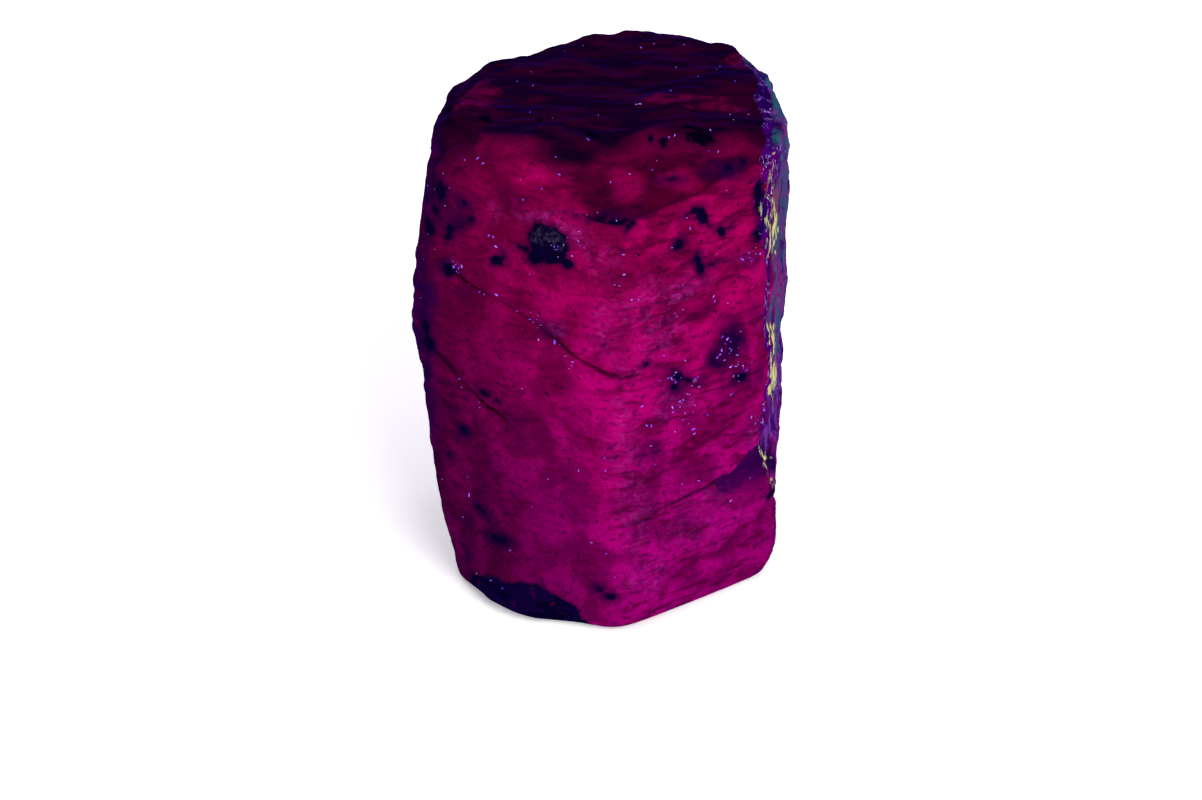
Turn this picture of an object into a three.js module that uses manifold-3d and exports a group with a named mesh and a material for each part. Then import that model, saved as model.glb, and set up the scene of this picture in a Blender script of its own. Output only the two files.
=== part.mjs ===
// A raw ruby crystal: one squat six-sided corundum prism, standing on the flat
// parting face at its foot. Its corners are worn, its left side bellies out above
// a narrower foot, its top rim is broken away in chips, and a knob of dark mineral
// stands out of it low on the left.
//
// Millimetres, +Z up. The front corner of the prism points along -Y.
import * as THREE from "three";
import Module from "manifold-3d";
import { ImprovedNoise } from "three/addons/math/ImprovedNoise.js";
import { mergeVertices } from "three/addons/utils/BufferGeometryUtils.js";

// Driving dimensions.
const HEIGHT = 26.3;
const HALF_WIDTH = 10.25;
const FRONT_REACH = 12.2;
const BACK_REACH = 11.8;
const CORNER_RADIUS = 1.3;
const RIM_BEVEL = 0.6;

// Plan corners of the prism at its widest level, counter-clockwise from the front.
const CORNERS = [
  [1.1, -FRONT_REACH],
  [9.4, -6.2],
  [10.8, 6.4],
  [3.4, BACK_REACH],
  [-8.9, 6.9],
  [-HALF_WIDTH, -5.8],
].map(([x, y]) => new THREE.Vector2(x, y));

// How finely the walls are divided, so that they can swell and roll.
const POINTS_PER_FACE = 9;
const POINTS_PER_CORNER = 3;
const WALL_LEVELS = 22;

// The belly: where the crystal is widest, and how much each side draws in from there.
const BELLY_HEIGHT = 15;
const DRAW_IN = {
  left: { foot: 2.4, top: 1.3, bend: 1 },
  right: { foot: 0.8, top: 0.1, bend: 1.5 },
};
const RIGHT_FACE = [-6, 6]; // along this the right side goes from no draw-in to all of it

// The walls roll gently in and out: [wavelength, depth].
const ROLLS = [
  [7.5, 0.42],
  [3.1, 0.16],
];
const FLAT_FOOT = 1.2; // the rolls fade out over this height above the foot

// The knob of dark mineral that stands out of the left face at its foot.
const KNOB = { at: new THREE.Vector3(-5.4, -9.6, 0.6), reach: 3.5, depth: 1.9 };

// Pieces broken off: a point of the broken face, and the way that face looks out.
const CHIPS = {
  frontTop: { through: [1.1, -11.7, 24.0], facing: [0.08, -0.36, 1] },
  leftTop: { through: [-9.3, -1.0, 24.2], facing: [-1, 0.1, 0.4] },
  leftRim: { through: [-8.4, 1.0, 25.3], facing: [-0.7, 0.15, 1] },
  leftFrontTop: { through: [-8.4, -6.6, 24.5], facing: [-0.6, -0.3, 1] },
  leftBackTop: { through: [-5.6, 8.0, 25.3], facing: [-0.3, 0.5, 1] },
  backTop: { through: [6.6, 9.5, 26.1], facing: [0.3, 0.45, 1] },
  rightTop: { through: [10.1, 1.0, 24.9], facing: [1, 0.1, 0.35] },
  rightRim: { through: [9.7, 1.0, 25.9], facing: [0.8, 0.15, 1] },
  leftFoot: { through: [-8.3, -6.4, 1.6], facing: [-0.9, -0.55, -0.8] },
  rightFoot: { through: [8.9, -6.2, 1.9], facing: [0.62, -0.7, -0.3] },
  backFoot: { through: [-3.5, 9.3, 1.1], facing: [-0.3, 0.8, -1] },
};
const CHIP_BLOCK = 60;

const noise = new ImprovedNoise();

// The outline with each corner rounded and each face divided.
function outline() {
  const points = [];
  const count = CORNERS.length;
  const setBack = (from, to) =>
    from.clone().add(to.clone().sub(from).setLength(CORNER_RADIUS));
  for (let i = 0; i < count; i++) {
    const corner = CORNERS[i];
    const before = CORNERS[(i + count - 1) % count];
    const after = CORNERS[(i + 1) % count];
    const arc = new THREE.QuadraticBezierCurve(
      setBack(corner, before),
      corner,
      setBack(corner, after),
    );
    const face = new THREE.LineCurve(arc.v2, setBack(after, corner));
    points.push(...arc.getPoints(POINTS_PER_CORNER));
    points.push(...face.getPoints(POINTS_PER_FACE).slice(1, -1));
  }
  return new THREE.Shape(points);
}

// How much the crystal's side draws in at a point, as a distance.
function drawIn({ x, y, z }) {
  const side = x < 0 ? DRAW_IN.left : DRAW_IN.right;
  const above = z > BELLY_HEIGHT;
  const span = above ? HEIGHT - BELLY_HEIGHT : BELLY_HEIGHT;
  const share = (Math.abs(z - BELLY_HEIGHT) / span) ** side.bend;
  const along = x < 0 ? 1 : THREE.MathUtils.smoothstep(y, ...RIGHT_FACE);
  return (above ? side.top : side.foot) * share * along;
}

// How far the wall stands out at a point, from the rolls and the knob.
function standOut(point) {
  const rolls = ROLLS.reduce(
    (sum, [wavelength, depth]) =>
      sum +
      depth *
        noise.noise(
          point.x / wavelength,
          point.y / wavelength,
          point.z / wavelength,
        ),
    0,
  );
  const away = point.distanceTo(KNOB.at) / KNOB.reach;
  const knob = KNOB.depth * Math.exp(-away * away);
  return rolls * THREE.MathUtils.smoothstep(point.z, 0, FLAT_FOOT) + knob;
}

// The whole prism before it was chipped: extruded, then bellied and rolled.
function prism() {
  const geometry = new THREE.ExtrudeGeometry(outline(), {
    depth: HEIGHT - 2 * RIM_BEVEL,
    steps: WALL_LEVELS,
    bevelThickness: RIM_BEVEL,
    bevelSize: RIM_BEVEL,
    bevelOffset: -RIM_BEVEL,
    bevelSegments: 2,
  }).translate(0, 0, RIM_BEVEL);
  const position = geometry.getAttribute("position");
  const point = new THREE.Vector3();
  for (let i = 0; i < position.count; i++) {
    point.fromBufferAttribute(position, i);
    const narrower = 1 - drawIn(point) / HALF_WIDTH;
    const radius = Math.hypot(point.x, point.y);
    const wider = 1 + standOut(point) / Math.max(radius, 1);
    position.setXYZ(i, point.x * narrower * wider, point.y * wider, point.z);
  }
  return geometry;
}

// A big block whose face lies on a chip's broken face, covering what broke off.
function chipBlock({ through, facing }) {
  const up = new THREE.Vector3(0, 0, 1);
  const normal = new THREE.Vector3(...facing).normalize();
  return new THREE.BoxGeometry(CHIP_BLOCK, CHIP_BLOCK, CHIP_BLOCK)
    .translate(0, 0, CHIP_BLOCK / 2)
    .applyQuaternion(new THREE.Quaternion().setFromUnitVectors(up, normal))
    .translate(...through);
}

// A closed three.js geometry as a manifold-3d solid.
function solid(wasm, geometry) {
  const bare = geometry.clone();
  bare.deleteAttribute("normal");
  bare.deleteAttribute("uv");
  const merged = mergeVertices(bare, 1e-4);
  return new wasm.Manifold(
    new wasm.Mesh({
      numProp: 3,
      vertProperties: merged.getAttribute("position").array,
      triVerts: new Uint32Array(merged.getIndex().array),
    }),
  );
}

// A manifold-3d solid back as a three.js geometry, flat shaded.
function surface(made) {
  const { vertProperties, triVerts } = made.getMesh();
  const geometry = new THREE.BufferGeometry()
    .setAttribute("position", new THREE.BufferAttribute(vertProperties, 3))
    .setIndex(new THREE.BufferAttribute(triVerts, 1))
    .toNonIndexed();
  geometry.computeVertexNormals();
  return geometry;
}

// Puts the origin under the middle of the crystal's box, on the surface it stands on.
function centreOnFoot(geometry) {
  geometry.computeBoundingBox();
  const { min, max } = geometry.boundingBox;
  return geometry.translate(
    -(min.x + max.x) / 2,
    -(min.y + max.y) / 2,
    -min.z,
  );
}

const wasm = await Module();
wasm.setup();
const chipped = Object.values(CHIPS).reduce(
  (left, chip) => left.subtract(solid(wasm, chipBlock(chip))),
  solid(wasm, prism()),
);

const ruby = new THREE.Mesh(
  centreOnFoot(surface(chipped)),
  new THREE.MeshStandardMaterial({
    color: 0x8a0a4c,
    roughness: 0.42,
    metalness: 0,
  }),
);
ruby.name = "ruby_crystal";

const crystal = new THREE.Group();
crystal.add(ruby);
export default crystal;
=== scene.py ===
import math
import random

import bmesh
import bpy
from mathutils import Matrix, Vector, noise
from mathutils.bvhtree import BVHTree


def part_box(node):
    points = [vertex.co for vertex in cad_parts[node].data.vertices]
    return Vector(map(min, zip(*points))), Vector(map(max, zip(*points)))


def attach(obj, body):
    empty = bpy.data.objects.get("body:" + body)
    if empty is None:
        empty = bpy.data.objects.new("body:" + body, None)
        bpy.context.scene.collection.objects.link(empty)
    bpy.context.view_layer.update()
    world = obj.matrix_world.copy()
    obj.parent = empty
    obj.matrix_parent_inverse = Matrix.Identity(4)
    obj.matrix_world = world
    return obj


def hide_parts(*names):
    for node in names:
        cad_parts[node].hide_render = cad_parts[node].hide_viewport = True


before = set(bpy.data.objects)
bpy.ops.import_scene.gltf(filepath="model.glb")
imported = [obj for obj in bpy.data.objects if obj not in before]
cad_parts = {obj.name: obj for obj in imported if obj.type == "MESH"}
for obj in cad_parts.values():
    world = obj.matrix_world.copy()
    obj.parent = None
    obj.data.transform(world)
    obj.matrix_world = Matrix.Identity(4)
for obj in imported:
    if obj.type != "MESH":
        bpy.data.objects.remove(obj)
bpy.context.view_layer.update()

# ---------------------------------------------------------------------------
# The crystal's blank. The real piece is one squat six-sided prism of ruby, grown
# in mica schist and broken out of it. The blank has its true size and its chipped
# outline, with worn edges, and is divided finely, so that its surface can be worked.

MM = 0.001
GRID = 0.18 * MM  # how finely the blank is divided
WEAR = 45  # rounds of smoothing, which wear its edges
WEAR_PER_ROUND = 0.5

_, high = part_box("ruby_crystal")

blank = bmesh.new()
blank.from_mesh(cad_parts["ruby_crystal"].data)
bmesh.ops.remove_doubles(blank, verts=blank.verts, dist=MM / 1000)
crystal = bpy.data.objects.new("ruby_prism", bpy.data.meshes.new("ruby_prism"))
blank.to_mesh(crystal.data)
blank.free()
bpy.context.scene.collection.objects.link(crystal)

divide = crystal.modifiers.new("divide_evenly", "REMESH")
divide.mode = "VOXEL"
divide.voxel_size = GRID
wear = crystal.modifiers.new("wear_the_edges", "SMOOTH")
wear.factor = WEAR_PER_ROUND
wear.iterations = WEAR
evaluated = crystal.evaluated_get(bpy.context.evaluated_depsgraph_get())
divided_mesh = bpy.data.meshes.new_from_object(evaluated)
crystal.modifiers.clear()
crystal.data = divided_mesh

# ---------------------------------------------------------------------------
# The six faces of the prism. Each is named, and a place on one is given as how far
# it is from the face's first corner and how high above the foot, in millimetres.

half_width, half_depth, height = high.x / MM, high.y / MM, high.z / MM
CORNERS = {
    "front": (0.09 * half_width, -1.01 * half_depth),
    "right": (0.89 * half_width, -0.51 * half_depth),
    "back_right": (0.985 * half_width, 0.555 * half_depth),
    "back": (0.31 * half_width, 0.99 * half_depth),
    "back_left": (-0.88 * half_width, 0.60 * half_depth),
    "left": (-0.99 * half_width, -0.475 * half_depth),
}
FACES = {
    "front_left": ("front", "left"),
    "front_right": ("front", "right"),
    "right": ("right", "back_right"),
    "back_right": ("back_right", "back"),
    "back_left": ("back", "back_left"),
    "left": ("left", "back_left"),
}


class Face:
    """One side of the prism: where it starts, and its directions along and out."""

    def __init__(self, first, last):
        self.start, end = (Vector((*CORNERS[name], 0)) for name in (first, last))
        self.width = (end - self.start).length
        self.along = (end - self.start).normalized()
        self.out = self.along.cross(Vector((0, 0, 1)))
        if self.out.dot(self.start + end) < 0:
            self.out.negate()

    def point(self, along, up, out=0.0):
        """The point that far along the face, that high, and that far out of it."""
        return self.start + along * self.along + Vector((0, 0, up)) + out * self.out

    def place(self, point):
        """How far along, how high and how far out of the face a point is."""
        away = point - self.start
        return away.dot(self.along), away.z, away.dot(self.out)


faces = {name: Face(*ends) for name, ends in FACES.items()}


def smooth(value, start, end):
    """Rises from 0 at start to 1 at end, easing in and out."""
    share = min(max((value - start) / (end - start), 0), 1)
    return share * share * (3 - 2 * share)


# ---------------------------------------------------------------------------
# The surface as it grew. Every point of the blank is moved along its own outward
# direction. The first of these moves are the soft lumps that cover the crystal, and
# the growth lines and low steps that run round its walls.

WANDER = 0.5  # how far the edge of a thing wanders
WANDER_WAVE = 1.7  # in waves of this length
NUDGE = 0.35  # the share of that by which a small, hard thing's edge wanders
SWAY = 0.5  # how far a growth line sways up and down
SWAY_WAVE = 2.6
EDGE_BEGINS, FACE_BEGINS = 0.84, 0.985  # how squarely a point faces out, there
TOP_Z = 23.2  # from here up the crystal's rough end begins

EVEN = (1, 1, 1)
ROUND_THE_WALL = (3, 3, 1)
# Ripples: depth, wavelength, how far each axis is stretched, and where the noise starts.
LUMPS = [(0.13, 3.4), (0.06, 1.5, EVEN, 4)]
FINE_LUMPS = [(0.03, 0.6, EVEN, 8)]
LINE_RIPPLES = [(0.06, 0.8, ROUND_THE_WALL, 2), (0.05, 0.42, ROUND_THE_WALL, 7)]
STEP = 0.15  # how far a low step stands out

# How strong each face's growth lines are.
GROWTH_LINES = {
    "front_left": 0.22,
    "front_right": 1.0,
    "right": 0.8,
    "back_right": 0.8,
    "back_left": 0.4,
    "left": 0.6,
}


def ripple(point, wavelength, stretch=EVEN, shift=0.0):
    """Smooth noise of one wavelength, from about -1 to 1."""
    return noise.noise(
        Vector(p / (wavelength * s) + shift for p, s in zip(point, stretch))
    )


def ripples(point, rows):
    """How far the surface moves out at a point, from all the ripples listed."""
    return sum(depth * ripple(point, *row) for depth, *row in rows)


class Spot:
    """A point of the blank's surface, in millimetres, and how it lies on the prism."""

    def __init__(self, point, normal):
        self.point, self.normal = point, normal
        sideways = [ripple(point, WANDER_WAVE, shift=shift) for shift in (3.1, 9.2, 5.7)]
        self.wander = WANDER * Vector(sideways)
        self.warped = point + self.wander
        self.nudged = point + NUDGE * self.wander
        self.swayed = self.warped + Vector((0, 0, SWAY * ripple(point, SWAY_WAVE, shift=27)))
        self.facing = {name: max(normal.dot(face.out), 0) for name, face in faces.items()}
        squarely = max(*self.facing.values(), abs(normal.z))
        self.edge = 1 - smooth(squarely, EDGE_BEGINS, FACE_BEGINS)
        self.top = smooth(normal.z, 0.35, 0.8) * smooth(point.z, TOP_Z - 2, TOP_Z)
        shares = {name: self.facing[name] ** 4 + 1e-6 for name in faces}
        lines = sum(GROWTH_LINES[name] * shares[name] for name in faces)
        self.lines = lines / sum(shares.values())


def grow(spot):
    """The lumps, growth lines and steps."""
    move = ripples(spot.point, LUMPS) + ripples(spot.warped, FINE_LUMPS)
    lines = spot.lines * (1 - abs(spot.normal.z))
    move += lines * ripples(spot.swayed, LINE_RIPPLES)
    stepped = smooth(ripple(spot.point, 3.1, shift=33), -0.25, 0.25)
    step = smooth(ripple(spot.swayed, 1.7, (2, 2, 1), 11), 0, 0.07)
    move += lines * stepped * step * STEP
    return move, {"lines": spot.lines}


# ---------------------------------------------------------------------------
# The rough end, where the crystal was broken from the rock. Low layers cross it, each
# broken off a little behind the one below, its rim is crushed, and a hollow is broken
# into its front. The prism's other edges are worn and chipped.

# How the layers run: how many to the millimetre, and the ripples that bend them.
LAYERS_PER_MM = 0.3
LAYER_BENDS = [(1.5, 4.2, (1.5, 0.9, 1), 6), (0.55, 1.5, (1.6, 0.9, 1), 1)]
LAYER_HEIGHT = 0.05
LAYER_RISE = 0.45  # the share of a layer's tread over which it rises
END_LUMPS = [(0.34, 2.8, (1.3, 1, 1), 19)]
END_FINE_LUMPS = [(0.15, 1.1, (1.4, 0.9, 1), 12), (0.06, 0.5, (1.5, 0.9, 1), 12)]
RIM_CRUSH = 0.22
RIM_CRUSH_VARIES = 0.5
EDGE_CHIP_DEPTH = 0.6
EDGE_RIPPLES = [(0.10, 0.8, EVEN, 16)]
HOLLOW = Vector((1.5, -8.4, height - 1.4))
HOLLOW_REACH = 3.2
HOLLOW_DEPTH = 0.4


def break_end(spot):
    """The rough end's layers and lumps, its crushed rim and its hollow."""
    point = spot.point
    layer = LAYERS_PER_MM * point.y + ripples(point, LAYER_BENDS)
    tread = layer - math.floor(layer)
    strength = 0.5 + 0.5 * smooth(ripple(point, 5, shift=18), -0.3, 0.3)
    strength *= 0.35 + smooth(ripple(point, 2.0, shift=43), -0.4, 0.5)
    rough = strength * LAYER_HEIGHT * (smooth(tread, 0, LAYER_RISE) - tread)
    rough += ripples(point, END_LUMPS) + ripples(spot.warped, END_FINE_LUMPS)
    rim = spot.edge * smooth(point.z, TOP_Z - 3.5, TOP_Z - 0.5)
    crushed = RIM_CRUSH + RIM_CRUSH_VARIES * ripple(spot.warped, 2.3, shift=37)
    hollow = (point - HOLLOW).length / HOLLOW_REACH
    hollowed = HOLLOW_DEPTH * math.exp(-hollow * hollow)
    return spot.top * rough - rim * crushed - hollowed, {}


def wear_edges(spot):
    """The wear and the small chips along the prism's edges."""
    chipping = max(ripple(spot.point, 1.5, shift=14) - 0.05, 0)
    worn = ripples(spot.warped, EDGE_RIPPLES) - EDGE_CHIP_DEPTH * chipping
    return spot.edge * worn, {}


# ---------------------------------------------------------------------------
# Cracks and ledges. The cracks were healed by later growth and show as grooves, with
# the side below a little lower than the side above. The ledges are where thin layers
# of a wall broke away.

FAR_OFF = 9.0  # the distance given for what is out of reach
CRACK_REACH = 3.0
SIDEWAYS = 0.5  # how much an offset sideways counts, beside one up or down
GROOVE_WIDTH = 0.17
LIP_DEPTH = 0.6  # how low the side below lies, as a share of the groove's depth
LIP_EDGE = (-0.08, 0.08)
LIP_REACH = 1.1
CLOSED_SHARE = 0.2  # how much of a crack's half run, from its end, is still closing
LEDGE_DEPTH = 0.2
LEDGE_EDGE = (-0.05, 0.08)
LEDGE_REACH = 0.7
LEDGE_CLOSED_SHARE = 0.35
SHADE_BELOW = 0.1  # how far below a ledge its painted shade lies
SHADE_WIDTH = 0.22

# Cracks: how deep each is cut, how much it wanders, and the places it runs through.
CRACKS = [
    (0.20, 0.35, [
        ("front_left", 12.3, 19.8),
        ("front_left", 10.6, 19.5),
        ("front_left", 9.6, 18.8),
        ("front_left", 8.3, 18.35),
        ("front_left", 6.9, 18.1),
        ("front_left", 5.2, 17.4),
        ("front_left", 3.9, 16.7),
        ("front_left", 2.7, 16.0),
        ("front_left", 1.1, 15.3),
        ("front_right", 0.2, 15.1),
        ("front_right", 1.3, 15.1),
        ("front_right", 2.4, 15.0),
    ]),
    (0.07, 0.6, [
        ("front_left", 12.1, 14.5),
        ("front_left", 11.0, 13.6),
        ("front_left", 9.8, 12.9),
        ("front_left", 8.6, 12.0),
        ("front_left", 7.8, 11.5),
        ("front_left", 6.6, 10.9),
    ]),
    (0.13, 0.35, [
        ("front_right", 0.1, 6.3),
        ("front_right", 1.8, 6.4),
        ("front_right", 3.1, 6.9),
        ("front_right", 4.7, 7.1),
        ("front_right", 6.4, 7.3),
        ("front_right", 7.6, 7.6),
    ]),
    (0.32, 0.0, [
        ("front_left", 2.6, 24.28),
        ("front_left", 2.0, 24.21, -0.08),
        ("front_left", 1.6, 24.16, -0.15),
        ("front_left", 1.1, 24.08, -0.25),
    ]),
    (0.32, 0.0, [
        ("front_left", 1.1, 24.13, -0.4),
        ("front_left", 0.5, 24.10, -0.6),
        ("front_right", 0.9, 24.04, -0.6),
    ]),
    (0.13, 1.5, [
        ("back_left", 0.5, 12.6),
        ("back_left", 2.6, 13.5),
        ("back_left", 5.2, 14.0),
        ("back_left", 8.0, 14.6),
        ("back_left", 9.6, 15.7),
        ("back_left", 12.0, 16.1),
    ]),
    (0.12, 1.3, [
        ("left", 0.6, 19.6),
        ("left", 3.0, 18.9),
        ("left", 5.2, 17.6),
        ("left", 8.0, 17.0),
        ("left", 11.5, 14.6),
    ]),
    (0.13, 1.5, [
        ("back_right", 0.4, 7.6),
        ("back_right", 2.6, 8.6),
        ("back_right", 5.2, 8.9),
        ("back_right", 7.8, 10.6),
    ]),
]

# Ledges on the right front face, each through places along and up it. Below a ledge the
# surface is broken back a little.
LEDGES = [
    [(2.4, 18.0), (3.4, 18.3), (4.6, 18.6), (5.8, 18.5)],
    [(3.0, 17.2), (3.6, 17.7), (4.7, 17.9), (6.0, 17.6), (6.9, 17.7)],
    [(1.4, 16.1), (2.3, 16.5), (3.0, 17.1)],
    [(1.8, 15.4), (3.4, 15.3), (5.2, 15.5)],
    [(5.6, 16.6), (6.6, 16.9), (7.8, 16.8), (9.2, 17.2)],
    [(2.2, 20.6), (3.6, 20.4), (5.0, 20.9)],
    [(6.2, 18.9), (7.4, 19.0), (8.8, 18.8)],
    [(5.8, 12.1), (7.2, 12.2), (8.9, 12.6)],
    [(3.8, 9.9), (5.4, 10.0), (6.9, 10.4), (8.6, 10.9)],
    [(1.0, 9.0), (2.4, 8.8), (4.2, 9.1)],
    [(2.8, 4.6), (4.4, 4.9), (6.2, 4.8)],
    [(4.2, 2.6), (6.0, 3.2), (8.4, 3.6)],
]


class Crack:
    """A crack's run over the faces."""

    def __init__(self, depth, wander, stops):
        self.depth, self.wander = depth, wander
        points = [faces[face].point(*stop) for face, *stop in stops]
        self.runs = list(zip(points, points[1:]))
        self.middle = sum(points, Vector()) / len(points)
        self.reach = max((p - self.middle).length for p in points) + CRACK_REACH

    def nearest(self, point):
        """Returns how far off a point is, how far below, and how near an end, 0 to 1."""
        if (point - self.middle).length > self.reach:
            return FAR_OFF, 0.0, 0.0
        best = (FAR_OFF, 0.0, 0.0)
        for i, (start, end) in enumerate(self.runs):
            run, away = end - start, point - start
            share = min(max(away.dot(run) / run.length_squared, 0), 1)
            off = away - share * run
            distance = Vector((SIDEWAYS * off.x, SIDEWAYS * off.y, off.z)).length
            if distance < best[0]:
                travelled = (i + share) / len(self.runs)
                best = (distance, -off.z, 2 * min(travelled, 1 - travelled))
        return best


cracks = [Crack(*row) for row in CRACKS]
ledges = {"front_right": LEDGES}


def cut_cracks(spot):
    """The cracks' grooves and lips. Marks how far off the nearest crack is."""
    move, nearest = 0.0, 1.0
    for crack in cracks:
        distance, below, inner = crack.nearest(spot.point + crack.wander * spot.wander)
        if distance > 2.5:
            continue
        opened = smooth(inner, 0, CLOSED_SHARE)
        groove = math.exp(-((distance / GROOVE_WIDTH) ** 2))
        lip = smooth(below, *LIP_EDGE) * math.exp(-distance / LIP_REACH)
        move -= crack.depth * opened * (groove + LIP_DEPTH * lip)
        nearest = min(nearest, distance + 0.5 * (1 - opened))
    return move, {"crack": nearest}


def break_ledges(spot):
    """The ledges. Marks where shade is painted close under them."""
    move = shade = 0.0
    for face, rows in ledges.items():
        if spot.facing[face] < 0.5:
            continue
        for ledge in rows:
            distance, below, inner = ledge.nearest(spot.warped)
            if distance > 2 or below < -0.15:
                continue
            opened = smooth(inner, 0, LEDGE_CLOSED_SHARE)
            fall = smooth(below, *LEDGE_EDGE) * math.exp(-distance / LEDGE_REACH)
            move -= LEDGE_DEPTH * opened * fall
            from_shade = (below - SHADE_BELOW) / SHADE_WIDTH
            shade = max(shade, opened * math.exp(-(from_shade**2)))
    return move, {"painted_ledge_shade": shade}


# ---------------------------------------------------------------------------
# Grains of dark mineral, which the crystal grew round. Most lie level with its surface
# and some stand a little proud of it or are sunk. On the rough end they are streaks
# that lie in its layers.

OVAL_DEPTH = 3.0  # how far above and below its face an oval reaches
GRAIN_EDGE = (-0.12, 0.2)  # a grain rises over this, from outside its edge to inside
GRAIN_UNEVEN = 0.9

# Dark grains, by face: along, up, half length, half width, turn in degrees, and how far
# each stands proud.
GRAINS = {
    "front_left": [
        # The great grain and its two black lobes.
        (4.3, 22.05, 1.30, 1.08, 0, 0.22),
        (5.05, 21.25, 0.70, 0.42, 15, 0.10),
        (3.2, 21.2, 0.36, 0.34, 0, 0.05),
        (7.4, 20.5, 0.34, 0.28, 20, 0),
        (7.1, 20.9, 0.10, 0.22, 30, 0),
        (6.0, 21.5, 0.34, 0.13, 0, 0),
        # The crevice over the great grain, its shadow painted black as dashes of grain.
        (1.8, 24.18, 0.62, 0.13, 7, 0),
        (0.45, 24.09, 0.50, 0.11, 0, 0),
        # A cluster by the left corner.
        (11.0, 23.7, 0.34, 0.50, 0, -0.05),
        (10.7, 23.8, 0.15, 0.15, 0, 0),
        (9.7, 23.2, 0.16, 0.14, 0, 0),
        (12.0, 21.3, 0.50, 0.45, 0, -0.05),
        (11.4, 22.5, 0.20, 0.30, 30, 0),
        (10.4, 21.7, 0.28, 0.26, -15, 0),
        (10.5, 21.2, 0.20, 0.30, -15, 0),
        (9.3, 22.3, 0.12, 0.12, 0, 0),
        (9.8, 21.9, 0.30, 0.08, 20, 0),
        (10.5, 19.3, 0.36, 0.38, 0, 0),
        (12.0, 15.6, 0.26, 0.30, 0, 0),
        (11.9, 14.6, 0.42, 0.55, 0, -0.05),
        # Slivers down the left of the face.
        (8.3, 12.6, 0.40, 0.18, -25, 0),
        (7.5, 12.3, 0.24, 0.14, -20, 0),
        (9.9, 9.9, 0.36, 0.24, 10, 0),
        (7.3, 4.2, 0.55, 0.18, 5, 0),
        (8.5, 5.3, 0.50, 0.15, -25, 0),
        (10.9, 8.1, 0.18, 0.16, 0, 0),
        # Two by the foot of the front edge.
        (0.5, 2.2, 0.34, 0.24, -10, 0.05),
        (1.1, 2.6, 0.22, 0.16, 0, 0),
    ],
    "front_right": [
        # The end of the crevice, its shadow painted black.
        (0.35, 24.06, 0.40, 0.11, 0, 0),
        # Grains below the rim, and further down.
        (0.9, 23.6, 0.16, 0.34, -25, 0),
        (1.2, 23.8, 0.24, 0.16, 30, 0),
        (5.0, 23.5, 0.48, 0.24, 8, 0),
        (5.6, 23.1, 0.58, 0.32, -50, 0),
        (6.7, 22.0, 0.30, 0.26, 0, 0),
        (7.0, 22.1, 0.26, 0.08, 15, 0),
        (4.0, 21.8, 0.40, 0.28, 0, 0),
        (5.2, 20.6, 0.22, 0.42, 5, 0),
        (5.4, 20.0, 0.24, 0.36, 10, 0),
        (6.0, 20.2, 0.34, 0.09, 10, 0),
        (9.3, 23.4, 0.30, 0.95, 0, -0.05),
        (9.2, 21.4, 0.50, 0.26, 25, 0),
        (3.7, 14.5, 0.30, 0.20, -30, 0),
        (3.5, 13.8, 0.26, 0.20, 0, 0),
        (4.4, 14.1, 0.46, 0.09, -35, 0),
        (8.0, 13.2, 0.36, 0.24, 0, 0),
        (1.7, 15.6, 0.15, 0.13, 0, 0),
    ],
    "right": [
        # By the right corner.
        (1.6, 6.8, 0.35, 0.50, 0, 0),
        (0.9, 5.3, 0.40, 0.45, 0, 0),
    ],
}

# Black streaks that lie in the layers of the top: x, y, half length, half width.
TOP_GRAINS = [
    (4.7, -4.0, 0.60, 0.32),
    (5.1, -4.8, 0.80, 0.42),
    (2.6, -5.1, 0.16, 0.25),
    (3.3, -5.3, 0.25, 0.30),
    (6.6, -7.0, 0.20, 0.30),
    (7.3, -6.5, 0.12, 0.20),
    (3.7, -7.8, 0.30, 0.15),
    (-6.2, -2.9, 0.40, 0.50),
    (-3.4, -3.1, 0.20, 0.30),
    (-0.6, -4.6, 0.35, 0.6),
]


class Oval:
    """An oval on a face: its middle, its half length and half height, and its turn."""

    def __init__(self, face, along, up, half_length, half_height, turn=0):
        self.face = faces[face]
        self.across, self.up = along, up
        self.half_length, self.half_height = half_length, half_height
        self.size = min(half_length, half_height)
        self.reach = 2.2 * max(half_length, half_height) + 2.1
        leftward = -1 if self.face.along.x < 0 else 1
        self.cos = math.cos(math.radians(turn))
        self.sin = leftward * math.sin(math.radians(turn))
        self.middle = self.face.point(along, up)

    def outside(self, point):
        """How far outside the oval a point is, in millimetres: less than 0 is inside."""
        if (point - self.middle).length > self.reach:
            return FAR_OFF
        along, up, out = self.face.place(point)
        across, rise = along - self.across, up - self.up
        a = (self.cos * across + self.sin * rise) / self.half_length
        b = (self.cos * rise - self.sin * across) / self.half_height
        c = out / OVAL_DEPTH
        return (math.sqrt(a * a + b * b + c * c) - 1) * self.size


def ovals(table):
    """The ovals in a table, each with the number that ends its row."""
    return [(Oval(face, *shape), last) for face, rows in table.items() for *shape, last in rows]


grains = ovals(GRAINS)
great_grain, _ = grains[0]

# Smaller ledges and grains strewn over the sides that have none listed: how many of each.
STREWN = {"right": 12, "back_right": 14, "back_left": 16, "left": 16}
LEDGE_STEPS = 3
STREWN_SIZE = (0.12, 0.7, 0.2)  # shortest, longest and usual half length
STREWN_PROUD = (-0.05, 0, 0, 0.08)

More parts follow.
